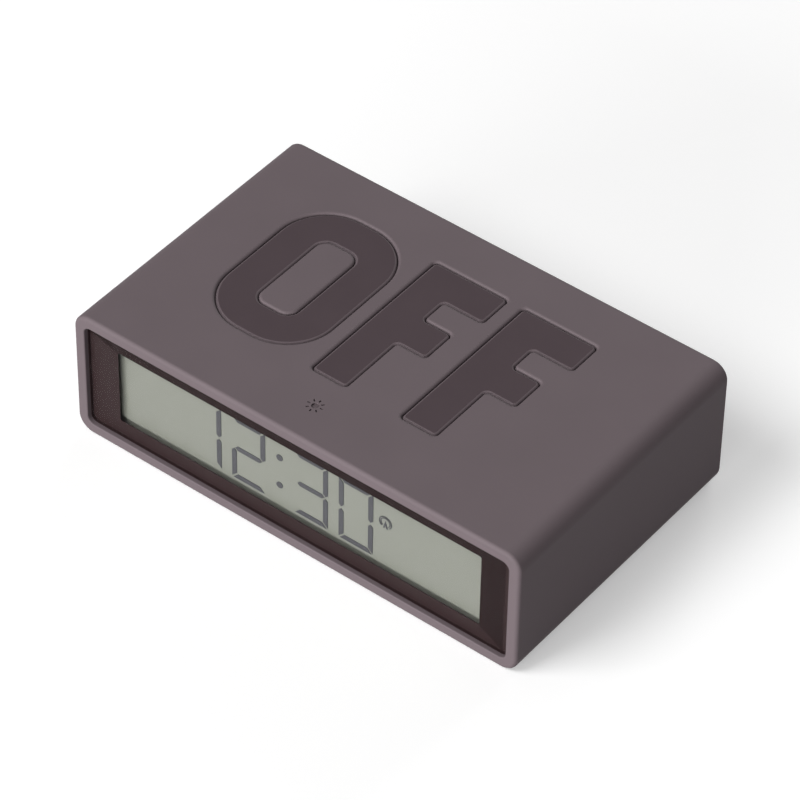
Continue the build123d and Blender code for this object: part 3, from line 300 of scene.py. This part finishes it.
MATERIALS = {
    "soft_touch_shell": soft_touch("soft_touch_shell", 0.62, 0.004 * MM, 0.2),
    "legend_inlay": printed_letter("legend_inlay"),
    "clear_window": clear_sheet("clear_window", colour(56, 54, 56), 0.03),
    # The dark print on the lens's border. The print also wraps round the lens's edges, and there its dark
    # tone is a painted reflection of the print seen inside the clear lens
    "mask_print": surface("mask_print", colour(47, 34, 35), 0.5, mottle=0.03, specular=0.1),
    "dark_plastic": surface("dark_plastic", colour(36, 33, 34), 0.45),
    "panel_plastic": surface("panel_plastic", colour(92, 83, 87), 0.5, mottle=0.03, grain=0.2 * MM,
                             depth=0.006 * MM),
    "key_plastic": signed_key("key_plastic"),
    "natural_plastic": surface("natural_plastic", colour(60, 57, 58), 0.5),
    "lcd_glass": glowing_glass("lcd_glass", colour(139, 141, 132), 1.1 * MM),
    "lcd_film": clear_sheet("lcd_film", colour(150, 156, 146), 0.03, rough=0.3),
    "lcd_ink": surface("lcd_ink", colour(82, 82, 86), 0.5, mottle=0.02, specular=0.1),
    "seal_glue": surface("seal_glue", colour(150, 150, 140), 0.5),
    "zebra_rubber": surface("zebra_rubber", colour(40, 40, 42), 0.7),
    "light_guide": surface("light_guide", colour(224, 228, 224), 0.2),
    "white_film": surface("white_film", colour(232, 232, 228), 0.5),
    "lamp": surface("lamp", colour(236, 232, 200), 0.3),
    "circuit_board": surface("circuit_board", colour(34, 84, 58), 0.4, mottle=0.08, mottle_size=3 * MM),
    "black_resin": surface("black_resin", colour(22, 22, 24), 0.25),
    "steel": surface("steel", colour(190, 190, 192), 0.3, metal=1.0, grain=0.3 * MM),
    "ferrite": surface("ferrite", colour(58, 56, 56), 0.6, mottle=0.1, mottle_size=1 * MM),
    "copper": surface("copper", colour(184, 112, 70), 0.35, metal=0.9, mottle=0.12, mottle_size=0.4 * MM,
                      stretch=(1.0, 0.05, 0.05)),
    "cell_sleeve": cell_sleeve("cell_sleeve", 1),
    "red_wire": surface("red_wire", colour(168, 34, 30), 0.4),
    "black_wire": surface("black_wire", colour(30, 30, 32), 0.4),
    "ribbon_film": surface("ribbon_film", colour(206, 196, 176), 0.4, mottle=0.1, mottle_size=0.8 * MM,
                           stretch=(1.0, 0.02, 0.02)),
    "brass_plate": surface("brass_plate", colour(196, 164, 92), 0.3, metal=1.0),
    "ceramic": surface("ceramic", colour(222, 218, 208), 0.35),
}

for name, piece in nodes.items():
    piece.data.materials.clear()
    piece.data.materials.append(MATERIALS[slot_of[name]])
nodes["battery_lower"].data.materials[0] = cell_sleeve("cell_sleeve_turned", -1)


def solid_piece(name, points, faces, slot, body):
    """A closed mesh that rides on a body and takes a slot's material."""
    mesh = bpy.data.meshes.new(name)
    mesh.from_pydata(points, [], faces)
    mesh.materials.append(MATERIALS[slot])
    piece = bpy.data.objects.new(name, mesh)
    bpy.context.scene.collection.objects.link(piece)
    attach(piece, body)
    return piece


def drawn_along_x(profile, left, right):
    """Points and faces of a closed outline in Y and Z, drawn from left to right."""
    count = len(profile)
    points = [(x, y, z) for x in (left, right) for y, z in profile]
    sides = [(i, (i + 1) % count, count + (i + 1) % count, count + i) for i in range(count)]
    return points, sides + [tuple(range(count))[::-1], tuple(range(count, 2 * count))]


def lcd_panel():
    """The display's glasses and films as one laminate, grey where the marks aren't."""
    low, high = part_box("lcd_rear_glass")
    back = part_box("lcd_rear_polariser")[1].y
    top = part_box("lcd_front_glass")[1].z
    step = low.y + (back - low.y) / 2
    edge = PANEL_BEVEL
    profile = [(low.y, low.z + edge), (low.y + edge, low.z), (back - edge, low.z), (back, low.z + edge),
               (back, high.z - edge), (back - edge, high.z), (step, high.z), (step, top - edge),
               (step - edge, top), (low.y + edge, top), (low.y, top - edge)]
    piece = solid_piece("lcd_panel", *drawn_along_x(profile, low.x, high.x), "lcd_glass", "case")
    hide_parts("lcd_front_polariser", "lcd_front_glass", "lcd_seal", "lcd_rear_glass",
                "lcd_rear_polariser")


lcd_panel()


def chosen(tree, share, first, second):
    """The first shader where the share is 0, and the second where it is 1."""
    node = tree.nodes.new("ShaderNodeMixShader")
    tree.links.new(share, node.inputs["Fac"])
    tree.links.new(first, node.inputs[1])
    tree.links.new(second, node.inputs[2])
    return node.outputs["Shader"]


def direct_sight(tree):
    """1 for what the camera sees straight, in a gloss or through a clear piece, and 0 for bounced light."""
    path = tree.nodes.new("ShaderNodeLightPath")
    either = calculated(tree, "MAXIMUM", path.outputs["Is Camera Ray"], path.outputs["Is Glossy Ray"])
    return calculated(tree, "MAXIMUM", either, path.outputs["Is Transmission Ray"])


def paper(tree, level):
    """A matt grey that returns the level, from 0 to 1, of the light on it."""
    node = tree.nodes.new("ShaderNodeBsdfDiffuse")
    node.inputs["Color"].default_value = (level, level, level, 1.0)
    return node.outputs["BSDF"]


def floor_material():
    """White paper that keeps the clock's shadow. It is seen a little paler than the light it returns."""
    material = bpy.data.materials.new("paper")
    material.use_nodes = True
    tree = material.node_tree
    tree.nodes.clear()
    output = tree.nodes.new("ShaderNodeOutputMaterial")
    glow = tree.nodes.new("ShaderNodeEmission")
    glow.inputs["Strength"].default_value = FLOOR_GLOW
    pale = tree.nodes.new("ShaderNodeAddShader")
    tree.links.new(paper(tree, FLOOR_DIFFUSE), pale.inputs[0])
    tree.links.new(glow.outputs["Emission"], pale.inputs[1])
    seen = chosen(tree, direct_sight(tree), paper(tree, FLOOR_BOUNCE), pale.outputs["Shader"])
    tree.links.new(seen, output.inputs["Surface"])
    return material


def add_floor():
    """A wide sheet just under the clock."""
    half = FLOOR_SIZE / 2
    mesh = bpy.data.meshes.new("floor")
    corners = [(-half, -half, -FLOOR_DROP), (half, -half, -FLOOR_DROP), (half, half, -FLOOR_DROP),
               (-half, half, -FLOOR_DROP)]
    mesh.from_pydata(corners, [], [(0, 1, 2, 3)])
    mesh.materials.append(floor_material())
    floor = bpy.data.objects.new("floor", mesh)
    bpy.context.scene.collection.objects.link(floor)


def background(tree, strength):
    """Even white light from all round."""
    node = tree.nodes.new("ShaderNodeBackground")
    node.inputs["Color"].default_value = WHITE
    node.inputs["Strength"].default_value = strength
    return node.outputs["Background"]


def add_world():
    """Even pale surroundings, white where the camera sees them."""
    world = bpy.data.worlds.new("surroundings")
    bpy.context.scene.world = world
    world.use_nodes = True
    tree = world.node_tree
    tree.nodes.clear()
    output = tree.nodes.new("ShaderNodeOutputWorld")
    path = tree.nodes.new("ShaderNodeLightPath")
    seen = chosen(tree, path.outputs["Is Camera Ray"], background(tree, WORLD_LEVEL), background(tree, 1.0))
    tree.links.new(seen, output.inputs["Surface"])


def add_lamp(name, way, width, height, power):
    """A soft panel lamp that faces the clock from the way given."""
    data = bpy.data.lights.new(name, "AREA")
    data.shape = "RECTANGLE"
    data.size = width
    data.size_y = height
    data.energy = power
    lamp = bpy.data.objects.new(name, data)
    lamp.location = Vector(way).normalized() * LAMP_DISTANCE
    lamp.rotation_mode = "QUATERNION"
    lamp.rotation_quaternion = (-lamp.location).to_track_quat("-Z", "Y")
    bpy.context.scene.collection.objects.link(lamp)


def add_camera():
    """A camera that looks at the target from its azimuth and elevation, rolled a little."""
    level = math.cos(CAMERA_ELEVATION)
    back = Vector((math.sin(CAMERA_AZIMUTH) * level, -math.cos(CAMERA_AZIMUTH) * level,
                   math.sin(CAMERA_ELEVATION)))
    right = Vector((0.0, 0.0, 1.0)).cross(back).normalized()
    up = back.cross(right)
    turned_right = math.cos(CAMERA_ROLL) * right + math.sin(CAMERA_ROLL) * up
    turned_up = math.cos(CAMERA_ROLL) * up - math.sin(CAMERA_ROLL) * right
    data = bpy.data.cameras.new("camera")
    data.lens = FOCAL_LENGTH
    data.sensor_width = SENSOR_WIDTH
    data.clip_start = NEAREST_SEEN
    data.clip_end = FARTHEST_SEEN
    camera = bpy.data.objects.new("camera", data)
    axes = Matrix((turned_right, turned_up, back)).transposed()
    camera.matrix_world = Matrix.Translation(CAMERA_TARGET + back * CAMERA_DISTANCE) @ axes.to_4x4()
    bpy.context.scene.collection.objects.link(camera)
    bpy.context.scene.camera = camera


add_floor()
add_world()
for lamp in LAMPS:
    add_lamp(*lamp)
add_camera()
bpy.context.scene.view_settings.view_transform = "Standard"
